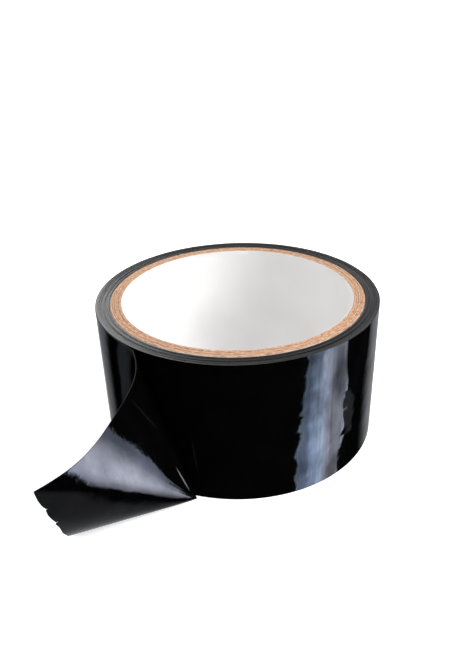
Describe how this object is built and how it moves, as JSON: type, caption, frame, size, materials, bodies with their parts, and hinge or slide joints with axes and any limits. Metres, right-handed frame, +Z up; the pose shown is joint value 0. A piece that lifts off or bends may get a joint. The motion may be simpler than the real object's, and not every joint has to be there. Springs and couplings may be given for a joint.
{
  "type": "duct tape roll",
  "caption": "Roll of glossy black duct tape wound on a paper core, standing flat, with the loose end peeled off and curling away from the front.",
  "frame": {"origin": "middle of the rectangle the part covers on the floor, at floor level", "axes": "+Z up along the roll's axis, which is its width; -Y towards the loose end of the tape"},
  "size_m": [0.0976, 0.128, 0.0477],
  "materials": {
    "white_paper": "matt",
    "brown_board": "matt, fibrous",
    "wound_tape": "glossy outside, satin cut edges",
    "backing_film": "glossy",
    "adhesive": "glossy, tacky"
  },
  "bodies": {
    "roll": {"core_liner": "white_paper", "core_ply_1": "brown_board", "core_ply_2": "brown_board", "core_ply_3": "brown_board", "core_ply_4": "brown_board", "core_ply_5": "brown_board", "core_wrap": "white_paper", "tape_turns_1": "wound_tape", "tape_turns_2": "wound_tape", "tape_turns_3": "wound_tape", "tape_turns_4": "wound_tape", "tape_turns_5": "wound_tape", "tape_turns_6": "wound_tape", "outer_turn": "wound_tape"},
    "loose_turn": {"loose_turn_film": "backing_film", "loose_turn_adhesive": "adhesive"},
    "tail_root": {"tail_root_film": "backing_film", "tail_root_adhesive": "adhesive"},
    "tail_end": {"tail_end_film": "backing_film", "tail_end_adhesive": "adhesive"}
  },
  "joints": [
    {"name": "loose_turn_lift", "type": "hinge", "parent": "roll", "child": "loose_turn", "pos_m": [-0.04291, 0.00662, 0.0238], "axis": [0, 0, -1], "range_deg": [0, 30]},
    {"name": "tail_peel", "type": "hinge", "parent": "loose_turn", "child": "tail_root", "pos_m": [-0.01144, -0.02876, 0.0006], "axis": [-0.3186, 0.1958, 0.9274], "range_deg": [0, 25]},
    {"name": "tail_curl", "type": "hinge", "parent": "tail_root", "child": "tail_end", "pos_m": [-0.01144, -0.02876, 0.0006], "axis": [0.3698, 0.3469, -0.8619], "range_deg": [0, 35]}
  ]
}
